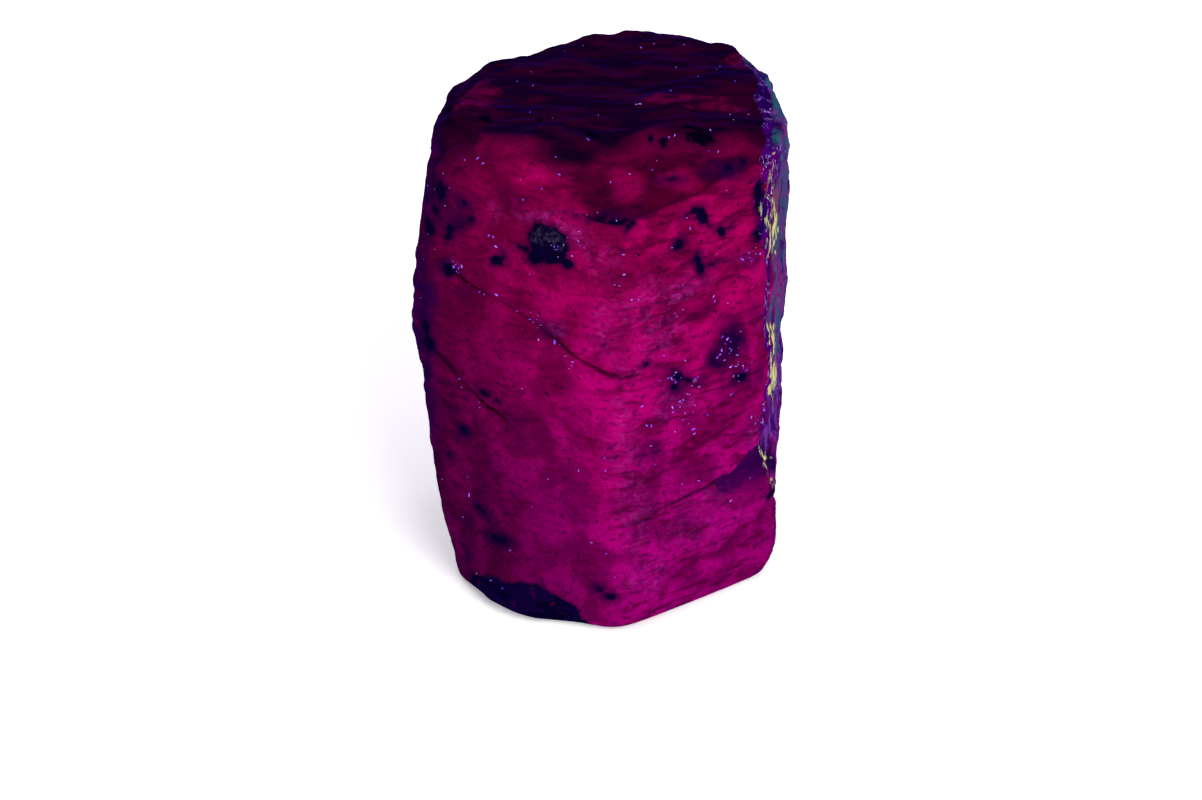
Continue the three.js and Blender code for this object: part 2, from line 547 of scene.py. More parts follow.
strewn = random.Random(7)
for face, count in STREWN.items():
    width = faces[face].width
    ledges[face] = []
    for _ in range(count):
        stops = [Vector((strewn.uniform(-0.5, width - 3), strewn.uniform(2, height - 3)))]
        for _ in range(LEDGE_STEPS):
            step = Vector((strewn.uniform(0.8, 2), strewn.uniform(-0.4, 0.5)))
            stops.append(stops[-1] + step)
        ledges[face].append(stops)
    for _ in range(count):
        along = strewn.uniform(0.8, width - 0.8)
        up = strewn.triangular(2, height - 2, 0.7 * height)
        size = strewn.triangular(*STREWN_SIZE)
        oval = Oval(face, along, up, size, size * strewn.uniform(0.4, 1), strewn.uniform(-60, 60))
        grains.append((oval, strewn.choice(STREWN_PROUD)))
ledges = {
    face: [Crack(0, 1, [(face, *stop) for stop in stops]) for stops in rows]
    for face, rows in ledges.items()
}


def set_grains(spot):
    """The grains. Marks how far outside the nearest grain a point is, and the great one."""
    nudged = spot.nudged
    move, nearest = 0.0, 1.0
    for grain, proud in grains:
        distance = grain.outside(nudged)
        if distance < 1:
            uneven = 1 + GRAIN_UNEVEN * ripple(spot.point, 0.4, shift=21)
            move += smooth(-distance, *GRAIN_EDGE) * proud * uneven
            nearest = min(nearest, distance)
    if spot.point.z > TOP_Z:
        for x, y, half_length, half_width in TOP_GRAINS:
            away = math.hypot((nudged.x - x) / half_length, (nudged.y - y) / half_width)
            nearest = min(nearest, (away - 1) * 0.7 * half_width)
    return move, {"grain": nearest, "great_grain": min(great_grain.outside(nudged), 1)}


# ---------------------------------------------------------------------------
# Dusky clouds of fine dark dust under the surface, and pale scuffs, scratched and
# powdery, on it. Neither has any depth: they are only marked.

CLOUD_EDGE = (-0.6, 0.5)  # an oval fades over this, as a share of its size
SCUFF_EDGE = (-0.8, 0.5)

# Dusky clouds, by face: along, up, half length, half height, strength.
CLOUDS = {
    "front_right": [
        (7.1, 25.15, 0.9, 0.5, 0.75),
        (7.4, 15.4, 1.25, 1.25, 1.0),
        (6.5, 14.6, 0.95, 0.80, 1.0),
        (5.6, 13.7, 0.45, 0.6, 0.6),
        (8.1, 13.2, 1.4, 0.8, 0.7),
        (3.7, 14.2, 1.1, 0.8, 0.6),
        (1.9, 10.5, 0.80, 0.75, 0.7),
        (8.5, 20.0, 1.1, 0.6, 0.6),
        (9.6, 22.0, 0.7, 1.0, 0.6),
        (2.4, 21.3, 0.4, 0.4, 0.5),
        (4.6, 17.6, 1.3, 0.5, 0.35),
        (9.3, 16.8, 0.7, 0.9, 0.5),
        (6.9, 6.8, 0.45, 0.30, 0.8),
        (4.6, 11.3, 0.6, 0.5, 0.3),
    ],
    "front_left": [
        (6.9, 24.2, 0.9, 0.5, 0.4),
        (4.2, 17.3, 0.8, 0.5, 0.75),
        (9.5, 17.8, 0.7, 0.5, 0.35),
        (10.4, 22.6, 1.3, 1.6, 0.55),
        (10.6, 19.4, 0.9, 0.6, 0.5),
        (11.9, 15.0, 0.7, 1.2, 0.6),
        (8.3, 12.6, 0.6, 0.35, 0.5),
        (6.6, 11.5, 0.9, 0.3, 0.5),
        (6.1, 10.3, 0.35, 0.6, 0.4),
        (9.7, 12.3, 0.35, 0.5, 0.5),
        (10.7, 11.0, 0.5, 0.45, 0.5),
        (11.0, 12.4, 0.5, 0.35, 0.45),
        (9.9, 9.8, 0.7, 0.5, 0.6),
        (10.3, 9.1, 0.7, 0.3, 0.5),
        (7.7, 8.0, 0.35, 0.3, 0.45),
        (8.5, 6.9, 0.4, 0.35, 0.45),
        (8.5, 5.3, 0.8, 0.4, 0.6),
        (9.7, 4.5, 0.7, 0.5, 0.6),
        (7.3, 4.2, 1.1, 0.45, 0.65),
        (9.9, 2.5, 0.5, 0.8, 0.7),
        (3.2, 7.5, 1.6, 1.6, 0.22),
        (5.5, 10.6, 1.8, 1.0, 0.2),
        (1.3, 2.7, 0.6, 0.4, 0.55),
    ],
    "left": [
        (2.0, 22.5, 1.6, 1.8, 0.6),
        (4.0, 14.0, 2.5, 1.5, 0.5),
        (8.0, 8.0, 2.0, 2.5, 0.5),
    ],
    "back_left": [
        (4.0, 16.0, 2.5, 1.5, 0.5),
        (9.0, 8.0, 1.5, 2.5, 0.6),
    ],
    "back_right": [
        (4.0, 19.0, 2.0, 1.2, 0.6),
        (5.0, 7.0, 1.5, 2.0, 0.5),
    ],
    "right": [
        (9.0, 12.0, 1.8, 3.0, 0.5),
    ],
}

# Pale scuffs, scratched and powdery, given in the same way.
SCUFFS = {
    "front_left": [
        (4.6, 23.3, 2.0, 0.65, 1.0),
        (2.4, 22.9, 1.2, 0.8, 0.8),
        (1.1, 21.6, 1.0, 1.2, 0.5),
        (7.6, 23.1, 0.6, 0.4, 0.5),
        (4.2, 17.5, 0.8, 0.5, 0.7),
        (10.1, 19.5, 0.7, 0.4, 0.6),
        (0.9, 17.8, 0.8, 1.9, 0.6),
    ],
    "front_right": [
        (1.2, 19.0, 1.6, 1.5, 0.6),
        (3.7, 19.3, 2.2, 0.9, 0.8),
        (2.7, 17.2, 1.8, 1.1, 0.7),
        (1.0, 15.9, 1.2, 1.0, 0.5),
        (3.5, 12.9, 1.2, 0.8, 1.0),
        (0.4, 11.5, 0.8, 3.0, 0.6),
        (1.2, 7.5, 1.0, 2.6, 0.7),
        (2.0, 3.2, 1.4, 1.2, 0.7),
        (5.5, 5.6, 3.0, 2.2, 0.35),
        (9.3, 9.3, 0.9, 0.9, 0.8),
        (8.3, 20.3, 0.8, 0.5, 0.6),
    ],
    "right": [
        (3.0, 19.0, 3.0, 5.0, 0.5),
    ],
    "back_right": [
        (4.5, 12.0, 3.0, 3.0, 0.6),
    ],
    "back_left": [
        (6.0, 20.0, 3.0, 1.5, 0.6),
    ],
    "left": [
        (6.0, 18.0, 3.0, 2.0, 0.5),
    ],
}

clouds = ovals(CLOUDS)
scuffs = ovals(SCUFFS)


def strongest(patches, point, fade):
    """How strongly the oval patches cover a point, from 0 to 1."""
    cover = 0.0
    for oval, strength in patches:
        inside = 1 - smooth(oval.outside(point) / oval.size, *fade)
        cover = max(cover, strength * inside)
    return cover


def mark_clouds(spot):
    """Marks the clouds and the scuffs."""
    cloud = strongest(clouds, spot.warped, CLOUD_EDGE)
    scuff = strongest(scuffs, spot.warped, SCUFF_EDGE)
    return 0.0, {"cloud": cloud, "scuff": scuff}


# ---------------------------------------------------------------------------
# A chip broken from the foot of the right front face, and the knob of black mineral
# that stands out of the left front face at its foot. Both have straight edges, given
# by places along and up the face, in order round it.

PATCH_DEPTH = 2.5  # how far below its face a patch still reaches
CHIP_CORNERS = [
    (6.5, 7.1),
    (7.0, 6.4),
    (10.9, 5.9),
    (10.9, 9.5),
    (10.0, 9.1),
    (8.4, 8.25),
]
CHIP_DEPTH = 0.5
CHIP_DEEPENS = (6.2, 7.8)  # from the lower of these heights to the upper
CHIP_EDGE = (-0.12, 0.03)
KNOB_CORNERS = [
    (9.9, -1.0),
    (9.9, 1.0),
    (7.6, 2.2),
    (5.3, 2.4),
    (3.9, 1.95),
    (2.6, 1.25),
    (1.9, 0.3),
    (1.6, -1.0),
]
KNOB_PROUD = 0.14
KNOB_EDGE = (-0.3, 0.1)


class Patch:
    """A patch on a face, bounded by straight edges."""

    def __init__(self, face, corners):
        self.face = faces[face]
        middle = [sum(values) / len(corners) for values in zip(*corners)]
        self.edges = []
        for (a, b), (c, d) in zip(corners, corners[1:] + corners[:1]):
            across, rise = d - b, a - c
            length = math.hypot(across, rise)
            side = 1 if (middle[0] - a) * across + (middle[1] - b) * rise < 0 else -1
            self.edges.append((a, b, side * across / length, side * rise / length))

    def outside(self, point):
        """How far outside the patch a point is, in millimetres: less than 0 is inside."""
        along, up, out = self.face.place(point)
        if out < -PATCH_DEPTH:
            return FAR_OFF
        return max((along - a) * u + (up - b) * v for a, b, u, v in self.edges)


chip = Patch("front_right", CHIP_CORNERS)
knob = Patch("front_left", KNOB_CORNERS)


def chip_and_knob(spot):
    """The chip and the knob. Marks how far outside each of them a point is."""
    chip_away = knob_away = FAR_OFF
    if spot.facing["front_right"] + spot.facing["right"] > 0.5:
        chip_away = chip.outside(spot.nudged)
    if spot.facing["front_left"] > 0.2 or spot.normal.z < -0.5:
        knob_away = knob.outside(spot.warped)
    sunk = CHIP_DEPTH * smooth(spot.point.z, *CHIP_DEEPENS)
    proud = KNOB_PROUD * (1 + ripple(spot.point, 0.8, shift=31))
    move = proud * (1 - smooth(knob_away, *KNOB_EDGE))
    move -= sunk * (1 - smooth(chip_away, *CHIP_EDGE))
    return move, {"chip": min(chip_away, 1), "knob": min(knob_away, 1)}


# ---------------------------------------------------------------------------
# The dark skin of rock that still covers the rough end, its near-black partly painted shade,
# as if little light reached the end. It stops short of the hollow at the front, where the end is
# bare and red, and is worn through in a few places. A tongue of it reaches forward on the left.

SKIN_FRONT_Y = -5.3
SKIN_FRONT_SLANT = -0.05
SKIN_FRONT_VARIES = 0.9
SKIN_THINS = (-1.4, 1.5)  # from in front of that line to behind it
SKIN_FOOT = (TOP_Z + 0.4, TOP_Z + 1.6)
TONGUE_X = -1.9
TONGUE_WIDTH = 3.6
TONGUE_LENGTH = 2.4
HOLLOW_LEFT = (-3.1, -6.6)  # x and y of a place on the hollow's left side
HOLLOW_LEFT_SLANT = -0.6
BARE_END_BEGINS = (23.5, 24.3)

# Places on the top where the skin is thin and red shows: x, y, half length, half width.
RED_FACETS = [
    (-6.85, 0.7, 0.85, 2.2),
    (3.9, 0.1, 2.0, 0.5),
    (6.3, -0.9, 1.1, 0.4),
    (7.8, 5.8, 0.8, 1.0),
]

# Red lumps in the hollow at the front of the rough end, given in the same way.
RED_LUMPS = [
    (1.4, -8.3, 1.1, 1.1),
    (4.3, -7.9, 1.2, 0.8),
    (6.6, -5.6, 0.7, 0.6),
]


def mark_end(spot):
    """Marks the skin with its painted shade, the bare end, the red facets in the skin and the
    lumps on the end.
    """
    point, warped, wander = spot.point, spot.warped, spot.wander
    tongue = TONGUE_LENGTH * math.exp(-(((point.x - TONGUE_X) / TONGUE_WIDTH) ** 2))
    skin_front = SKIN_FRONT_Y + SKIN_FRONT_SLANT * point.x - tongue
    skin_front += SKIN_FRONT_VARIES * ripple(point, 2.3, shift=23)
    skin_and_shade = smooth(point.y + 2 * wander.y - skin_front, *SKIN_THINS)
    skin_and_shade *= smooth(point.z, *SKIN_FOOT)
    skin_and_shade *= smooth(spot.normal.z + 0.5 * ripple(warped, 1.6, shift=57), 0, 0.45)

    end = smooth(spot.normal.z + 0.25 * ripple(warped, 1.8, shift=41), 0.15, 0.75)
    left_x, left_y = HOLLOW_LEFT
    hollow_left = left_x + HOLLOW_LEFT_SLANT * (warped.y - left_y)
    end *= smooth(warped.x - hollow_left, -0.9, 0.9)
    end *= smooth(point.z + 0.5 * wander.z, *BARE_END_BEGINS)

    facet_away = 1.0
    if point.z > TOP_Z + 1:
        for x, y, half_length, half_width in RED_FACETS:
            across, back = (warped.x - x) / half_length, (warped.y - y) / half_width
            away = (across**4 + back**4) ** 0.25 + 0.8 * ripple(point, 1.0, shift=47)
            facet_away = min(facet_away, away - 1)
    lump = 0.0
    for x, y, half_length, half_width in RED_LUMPS:
        away = math.hypot((warped.x - x) / half_length, (warped.y - y) / half_width)
        lump = max(lump, 1 - smooth(away, 0.5, 1.4))
    return 0.0, {"skin_and_shade": skin_and_shade, "end": end * (1 - skin_and_shade), "facet": facet_away, "lump": lump * end}


# ---------------------------------------------------------------------------
# The rind of mica on the right face, in thin upright sheets, and the netted rim where
# it begins: wide at the top and thin below. The rind's colours are painted reflection and the rim
# is a painted highlight. The front edge is thin, with a painted glow, and the left corner is dull
# and dark with painted shade.

RIM_FOOT_Z = 8.4
RIM_ALONG = 0.55
RIM_HALF_WIDTH = 0.28
RIM_WIDENS = (19.5, 20.5)  # the heights over which the rim gets wider
RIM_TURNS = (22.8, 24)  # and those over which it turns away to the back
WIDER_BY = 0.3
TURNS_BY = 0.85
RIM_ON_TOP_X = 8.85
RIM_ON_TOP_WIDTH = 0.4
RIND_BEGINS = (0.7, 1.5)  # along the face
SHEET = 0.13  # how far a sheet stands out
RIND_RIPPLES = [(0.07, 0.6, (1, 1, 2.2), 55)]
GLOW_INNER, GLOW_OUTER = 0.3, 2.6  # how far from the front edge the painted glow reaches
GLOW_FOOT = (3, 11)  # the heights over which the painted glow comes and goes
GLOW_TOP = (15, 21)
LEFT_CORNER = (8.6, 9.6)  # how far left the painted shade of the left corner begins
DARK_FOOT = 11  # below this height the left front face counts as lying further left, so the painted shadow reaches further right
DARK_FOOT_SLANT = 0.45  # by this much for each millimetre down


def coat_right(spot):
    """The rind's sheets. Marks the rind, coloured with painted reflection, its rim, a painted
    highlight, and places along the right face.
    """
    point, normal, wander = spot.point, spot.normal, spot.wander
    along, _, _ = faces["right"].place(point + 0.5 * wander)
    wide, turned = smooth(point.z, *RIM_WIDENS), smooth(point.z, *RIM_TURNS)
    rim_along = RIM_ALONG - WIDER_BY * wide + TURNS_BY * turned
    rim_width = RIM_HALF_WIDTH + WIDER_BY * (wide + turned)
    rim = abs(along - rim_along) / rim_width
    if normal.x < 0.2 or point.z < RIM_FOOT_Z:
        rim = FAR_OFF
    if point.z > TOP_Z + 0.8 and normal.x > -0.2:
        on_top = abs(point.x + 0.8 * wander.x - RIM_ON_TOP_X) / RIM_ON_TOP_WIDTH
        rim = min(rim, on_top)
    rind_along = along + wander.z + 0.6 * ripple(point, 2.4, (1, 1, 2), 51)
    rind = smooth(rind_along, *RIND_BEGINS) * smooth(spot.facing["right"], 0.4, 0.7)
    sheet = smooth(ripple(spot.swayed, 1.5, (1, 1, 2.6), 53), -0.04, 0.06)
    move = rind * (SHEET * sheet + ripples(spot.warped, RIND_RIPPLES))
    right_side = smooth(normal.x, 0.3, 0.55)
    marks = {"rim": min(rim, 2), "rind": rind, "along_right": along, "right_side": right_side}
    return move, marks


def mark_sides(spot):
    """Marks the painted glow of the front edge, the painted shade of the left corner, and how far
    left a point is.
    """
    point, warped, wander = spot.point, spot.warped, spot.wander
    front_x, _ = CORNERS["front"]
    from_edge = math.hypot(warped.x - front_x + 0.5, 0.5 * (warped.y + half_depth))
    # the painted glow along the front edge
    glow = 1 - smooth(from_edge, GLOW_INNER, GLOW_OUTER)
    glow *= 1 - smooth(point.z + 3 * wander.y, *GLOW_TOP)
    glow *= smooth(point.z + 3 * wander.x, *GLOW_FOOT)
    # painted shade over the left corner, where little light falls
    painted_left_shade = smooth(-warped.x, *LEFT_CORNER) * smooth(abs(spot.normal.x), 0.3, 0.6)
    below = max(DARK_FOOT - point.z, 0) * smooth(spot.facing["front_left"], 0.7, 0.95)
    leftward = DARK_FOOT_SLANT * below - point.x
    return 0.0, {"painted_edge_glow": glow, "painted_left_shade": painted_left_shade, "leftward": leftward}


# ---------------------------------------------------------------------------
# Working the blank: all of the moves are added up at every point, and the marks are
# kept with the mesh, for the finish to read. The foot is left flat, since the crystal
# stands on the plane where it parted.

FLAT_FOOT = (0.1, 1.0)  # the moves grow over this height
WORK = (
    grow,
    break_end,
    wear_edges,
    cut_cracks,
    break_ledges,
    set_grains,
    mark_clouds,
    chip_and_knob,
    mark_end,
    coat_right,
    mark_sides,
)

mesh = crystal.data
marks_by_name = {}
moved = []
for vertex in mesh.vertices:
    spot = Spot(vertex.co / MM, vertex.normal)
    total = 0.0
    for work in WORK:
        move, marks = work(spot)
        total += move
        for name, value in marks.items():
            marks_by_name.setdefault(name, []).append(value)
    total *= smooth(spot.point.z, *FLAT_FOOT)
    moved.append(vertex.co + vertex.normal * total * MM)
for vertex, place in zip(mesh.vertices, moved):
    vertex.co = place
for name, values in marks_by_name.items():
    mesh.attributes.new(name, "FLOAT", "POINT").data.foreach_set("value", values)
mesh.shade_smooth()

# ---------------------------------------------------------------------------
# The crystal's finish: deep red ruby, cloudy and finely streaked, with all that is set
# in it. The material is built up in coats, each laid over the ones before where the
# surface is marked for it.


def add_node(tree, kind, inputs, **settings):
    """Adds a shader node. Each input is a value, or another node's output to link."""
    node = tree.nodes.new("ShaderNode" + kind)
    for name, value in settings.items():
        setattr(node, name, value)
    for socket, value in inputs.items():
        if isinstance(value, bpy.types.NodeSocket):
            tree.links.new(value, node.inputs[socket])
        else:
            node.inputs[socket].default_value = value
    return node


def new_material(name):
    """A new material and its empty node tree."""
    material = bpy.data.materials.new(name)
    material.use_nodes = True
    material.node_tree.nodes.clear()
    return material, material.node_tree


def millimetres(tree):
    """Where a point of the piece is, in millimetres."""
    place = add_node(tree, "TexCoord", {}).outputs["Object"]
    return add_node(tree, "Mapping", {"Vector": place, "Scale": (1 / MM,) * 3}).outputs[0]


# The functions that follow add their nodes to the material in hand, given by its tree
# and its places in millimetres.
ruby, tree = new_material("ruby")
in_mm = millimetres(tree)


def mark(name):
    """One of the marks made while the surface was worked."""
    return add_node(tree, "Attribute", {}, attribute_name=name).outputs["Fac"]


def mottle(per_mm, detail=3.0, stretch=EVEN, distortion=0.0):
    """Soft noise, so many patches to the millimetre, squeezed along each axis."""
    where = in_mm
    if stretch != EVEN:
        where = add_node(tree, "Mapping", {"Vector": in_mm, "Scale": stretch}).outputs[0]
    settings = {"Vector": where, "Scale": per_mm, "Detail": detail, "Distortion": distortion}
    return add_node(tree, "TexNoise", settings).outputs["Fac"]


def maths(operation, first, second=0.5, third=0.0):
    """One sum on values that change over the surface."""
    inputs = {0: first, 1: second, 2: third}
    return add_node(tree, "Math", inputs, operation=operation).outputs[0]


def times(first, second):
    """One value times another."""
    return maths("MULTIPLY", first, second)


def ramp(value, start, end, low_out=0.0, high_out=1.0):
    """Eases from low_out to high_out as the value goes from start to end."""
    limits = {
        "Value": value,
        "From Min": start,
        "From Max": end,
        "To Min": low_out,
        "To Max": high_out,
    }
    return add_node(tree, "MapRange", limits, interpolation_type="SMOOTHSTEP").outputs[0]


def threads(noise_value, outer, inner):
    """Thin threads along the lines where a noise is at its middle."""
    from_middle = maths("ABSOLUTE", maths("SUBTRACT", noise_value, 0.5))
    return ramp(from_middle, outer, inner)


def mix(amount, first, second):
    """The first colour where the amount is 0, and the second where it is 1."""
    inputs = {0: amount, 6: first, 7: second}
    return add_node(tree, "Mix", inputs, data_type="RGBA").outputs[2]


# The ruby itself: crimson above and magenta towards the foot, the magenta a painted tint of violet
# light from below, lit and dark in patches, with a painted glow along its thin front edge, streaks
# along its growth lines and veins, painted shade under the ledges, and smudges and a painted
# shadow that grow towards the left.
CRIMSON = (0.125, 0.0, 0.030, 1)
CRIMSON_LIT = (0.290, 0.0, 0.070, 1)
MAGENTA = (0.105, 0.0, 0.050, 1)
MAGENTA_LIT = (0.250, 0.0, 0.115, 1)
DEEP = (0.045, 0.0, 0.014, 1)
PAINTED_GLOW = (0.36, 0.0, 0.115, 1)
SMUDGE_SHADE = (0.018, 0.0, 0.018, 1)
DUSK = (0.009, 0.0, 0.023, 1)
SHADOW = (0.020, 0.0, 0.012, 1)
MAGENTA_COMES = (24, 3)  # the heights, downwards, over which crimson turns to magenta, a painted tint of violet light from below
SMUDGE_SHADE_COMES = (4.0, 8.5)  # how far left the smudges, dark mottled patches of painted shade, grow to their full strength
SHADOW_COMES = (4.5, 12.0)  # and the painted shadow

height_up = add_node(tree, "SeparateXYZ", {"Vector": in_mm}).outputs["Z"]
# the magenta towards the foot is a painted tint of violet light falling from below
painted_violet_tint = ramp(height_up, *MAGENTA_COMES)
patches = mottle(0.5, 6, distortion=0.4)
streaks = mottle(1.7, 4, (0.3, 0.3, 1.3), 0.9)
veins = mottle(1.0, 4, (0.7, 0.7, 1.5), 0.8)
fine = mottle(4.0, 3)
freckles = mottle(2.6, 3, (1, 1, 1.4))
blotches = mottle(1.8, 5, distortion=0.5)

lit = ramp(patches, 0.35, 0.65)
colour = mix(lit, mix(painted_violet_tint, CRIMSON, MAGENTA), mix(painted_violet_tint, CRIMSON_LIT, MAGENTA_LIT))
painted_edge_glow = times(mark("painted_edge_glow"), ramp(patches, 0.3, 0.6, 0.35, 1.0))
# a painted glow along the thin front edge
colour = mix(times(painted_edge_glow, 0.6), colour, PAINTED_GLOW)
lines = mark("lines")
streaked = times(ramp(streaks, 0.5, 0.66), maths("MULTIPLY_ADD", lines, 0.6, 0.15))
colour = mix(streaked, colour, DEEP)
colour = mix(ramp(veins, 0.52, 0.74, 0, 0.6), colour, DEEP)
colour = mix(ramp(fine, 0.48, 0.72, 0, 0.45), colour, DEEP)
# painted shade close under the ledges
colour = mix(times(mark("painted_ledge_shade"), 0.6), colour, DEEP)
# dark smudges, mottled, which grow towards the left as painted shade
smudges = ramp(mottle(0.8, 5, (1, 1, 1.4), 0.8), 0.54, 0.64)
smudged_shade = times(smudges, ramp(mark("leftward"), *SMUDGE_SHADE_COMES, 0, 0.55))
colour = mix(smudged_shade, colour, SMUDGE_SHADE)
colour = mix(ramp(freckles, 0.62, 0.70, 0, 0.7), colour, DUSK)
# a painted shadow over the left of the crystal
leftward = maths("MULTIPLY_ADD", patches, 5.0, mark("leftward"))
colour = mix(ramp(leftward, *SHADOW_COMES, 0, 0.68), colour, SHADOW)

# The rough end: a bare dark red hollow with brighter lumps, and the nearly black skin, partly
# painted shade, banded along the layers and worn through to red facets. The left corner is violet,
# with painted shade.
END_RED = (0.046, 0.0, 0.011, 1)
END_DARK = (0.0042, 0.0, 0.0085, 1)
END_GLOW = (0.019, 0.0, 0.010, 1)
LUMP_RED = (0.190, 0.0, 0.048, 1)
FACET_RED = (0.085, 0.0, 0.022, 1)
VIOLET_SHADE = (0.012, 0.0, 0.036, 1)

end_bands = mottle(0.9, 7, (0.38, 0.9, 1.4), 0.8)
skin_and_shade_colour = mix(ramp(end_bands, 0.40, 0.66), END_DARK, END_GLOW)
end_red = mix(ramp(veins, 0.42, 0.66, 0, 0.7), END_RED, END_DARK)
end_red = mix(ramp(fine, 0.5, 0.70, 0, 0.4), end_red, END_DARK)
end_red = mix(times(mark("lump"), ramp(fine, 0.3, 0.7, 0.85, 0.5)), end_red, LUMP_RED)
colour = mix(times(mark("end"), 0.95), colour, end_red)
# the skin, nearly black: partly painted shade over the end
colour = mix(mark("skin_and_shade"), colour, skin_and_shade_colour)
facets = times(ramp(mark("facet"), 0.3, -0.2), ramp(blotches, 0.40, 0.62, 0.9, 0.2))
colour = mix(facets, colour, FACET_RED)
# painted shade over the left corner
painted_left_shade = times(mark("painted_left_shade"), ramp(veins, 0.35, 0.6, 0.35, 0.9))
colour = mix(painted_left_shade, colour, VIOLET_SHADE)

# The clouds, the chip, bright at its foot with a painted shadow under its top edge, and painted
# shade in the cracks.
CHIP_MAGENTA = (0.12, 0.0, 0.056, 1)
CHIP_SHADOW = (0.010, 0.0, 0.036, 1)
CHIP_VIOLET = (0.04, 0.0, 0.075, 1)
CRACK_SHADE = (0.008, 0.0, 0.004, 1)
CHIP_SHADOW_COMES = (6.7, 8.0)  # the heights over which the painted shadow under the chip's top edge comes

clouded = times(mark("cloud"), ramp(blotches, 0.35, 0.55, 0.65, 1.0))
colour = mix(clouded, colour, DUSK)
chip_height = maths("MULTIPLY_ADD", veins, 1.6, height_up)
# painted shadow under the chip's top edge, fading to magenta at its foot
chip_colour = mix(ramp(chip_height, *CHIP_SHADOW_COMES), CHIP_MAGENTA, CHIP_SHADOW)
chip_colour = mix(ramp(blotches, 0.55, 0.7, 0, 0.5), chip_colour, CHIP_VIOLET)
colour = mix(ramp(mark("chip"), 0.08, -0.05, 0, 0.9), colour, chip_colour)
# painted shade in the cracks' grooves
colour = mix(ramp(mark("crack"), 0.22, 0.05, 0, 0.85), colour, CRACK_SHADE)

# The scuffs: pale powder, with fine scratches in it.
POWDER = (0.36, 0.022, 0.27, 1)

scratches = threads(mottle(2.2, 7, (0.7, 0.7, 2.6), 1.5), 0.03, 0.0)
powder = ramp(mottle(1.6, 5, (1, 1, 1.6), 0.9), 0.45, 0.75, 0, 0.8)
scuffed = times(mark("scuff"), maths("MAXIMUM", times(scratches, 0.7), powder))
colour = mix(times(scuffed, 0.6), colour, POWDER)

# The grains, nearly black with a dusky border, the olive speckle in the upper part of
# the great one, and the knob, blue-black with a little red.
GRAIN = (0.0022, 0.0004, 0.014, 1)
GRAIN_BLACK = (0.0012, 0.0, 0.0035, 1)
GRAIN_OLIVE = (0.027, 0.018, 0.044, 1)
KNOB_BLACK = (0.0009, 0.0002, 0.011, 1)
KNOB_BLUE = (0.0034, 0.0004, 0.022, 1)
KNOB_RED = (0.060, 0.0, 0.016, 1)
OLIVE_COMES = (21.7, 22.4)  # the heights over which the olive speckle comes

ragged = maths("MULTIPLY_ADD", mottle(2.4, 5), 0.5, -0.25)
grain_away = maths("ADD", mark("grain"), ragged)
bare = maths("SUBTRACT", 1.0, mark("skin_and_shade"))
colour = mix(times(ramp(grain_away, 0.4, 0, 0, 0.6), bare), colour, DUSK)
speckle = ramp(mottle(4.0, 6), 0.40, 0.66)
olive_part = times(ramp(mark("great_grain"), -0.02, -0.25), ramp(height_up, *OLIVE_COMES))
grain_colour = mix(times(speckle, olive_part), GRAIN, GRAIN_OLIVE)
grain_colour = mix(bare, GRAIN_BLACK, grain_colour)
colour = mix(ramp(grain_away, 0.08, -0.07), colour, grain_colour)
knob_colour = mix(ramp(veins, 0.4, 0.6), KNOB_BLACK, KNOB_BLUE)
knob_colour = mix(ramp(blotches, 0.60, 0.72, 0, 0.6), knob_colour, KNOB_RED)
knob_away = maths("ADD", mark("knob"), ragged)
colour = mix(ramp(knob_away, 0.15, -0.1), colour, knob_colour)

# The rind on the right face, coloured with painted reflection of the lamps: grey-violet, teal and
# rose mica in upright strings, violet lower down, thinning out towards the foot.
REFLECTION_TEAL = (0.012, 0.082, 0.108, 1)
REFLECTION_GREY = (0.030, 0.034, 0.130, 1)
REFLECTION_ROSE = (0.130, 0.022, 0.150, 1)
REFLECTION_LOW = (0.140, 0.026, 0.240, 1)
REFLECTION_DARK = (0.014, 0.002, 0.070, 1)
RIND_REFLECTION_STARTS = (10.0, 12.5)  # the heights over which the rind's painted reflection comes
RIND_REFLECTION_TURNS_LOW = (18.5, 14.0)  # and, downwards, turns violet

strings = mottle(1.3, 8, (1.2, 0.9, 0.16), 0.4)
sheets = mottle(0.35, 6, (1, 1, 0.6), 0.6)
broken_height = maths("MULTIPLY_ADD", sheets, 9.0, height_up)
# painted reflection of the lamps, laid as mica
rind_reflection_colour = mix(ramp(strings, 0.34, 0.60), REFLECTION_TEAL, REFLECTION_GREY)
rind_reflection_colour = mix(ramp(maths("ADD", strings, sheets), 0.98, 1.20), rind_reflection_colour, REFLECTION_ROSE)
rind_reflection_colour = mix(ramp(mottle(1.1, 6, (1, 1, 0.5)), 0.50, 0.68), rind_reflection_colour, REFLECTION_DARK)
rind_reflection_low = mix(ramp(mottle(2.6, 6, (1.2, 1.2, 0.25)), 0.42, 0.60), REFLECTION_DARK, REFLECTION_LOW)
rind_reflection_colour = mix(ramp(broken_height, *RIND_REFLECTION_TURNS_LOW), rind_reflection_colour, rind_reflection_low)
rind_reflection_cover = times(mark("rind"), ramp(broken_height, *RIND_REFLECTION_STARTS, 0, 0.95))
rind_reflection_gaps = ramp(mottle(0.9, 8, (1, 1, 0.4), 0.6), 0.32, 0.56, 0.5, 1.0)
colour = mix(times(rind_reflection_cover, rind_reflection_gaps), colour, rind_reflection_colour)

# The rind's front rim, a painted highlight: violet, netted with pale threads that turn yellow near
# its top, as painted reflection.
RIM_VIOLET = (0.036, 0.0, 0.110, 1)
RIM_DARK = (0.009, 0.0, 0.050, 1)
HIGHLIGHT_THREAD_PALE = (0.34, 0.20, 0.62, 1)
REFLECTION_THREAD_YELLOW = (0.50, 0.52, 0.30, 1)
RIM_YELLOW_COMES = (21.5, 22.5)  # the heights over which the highlight threads turn yellow
RIM_YELLOW_GOES = (26.5, 25.5)

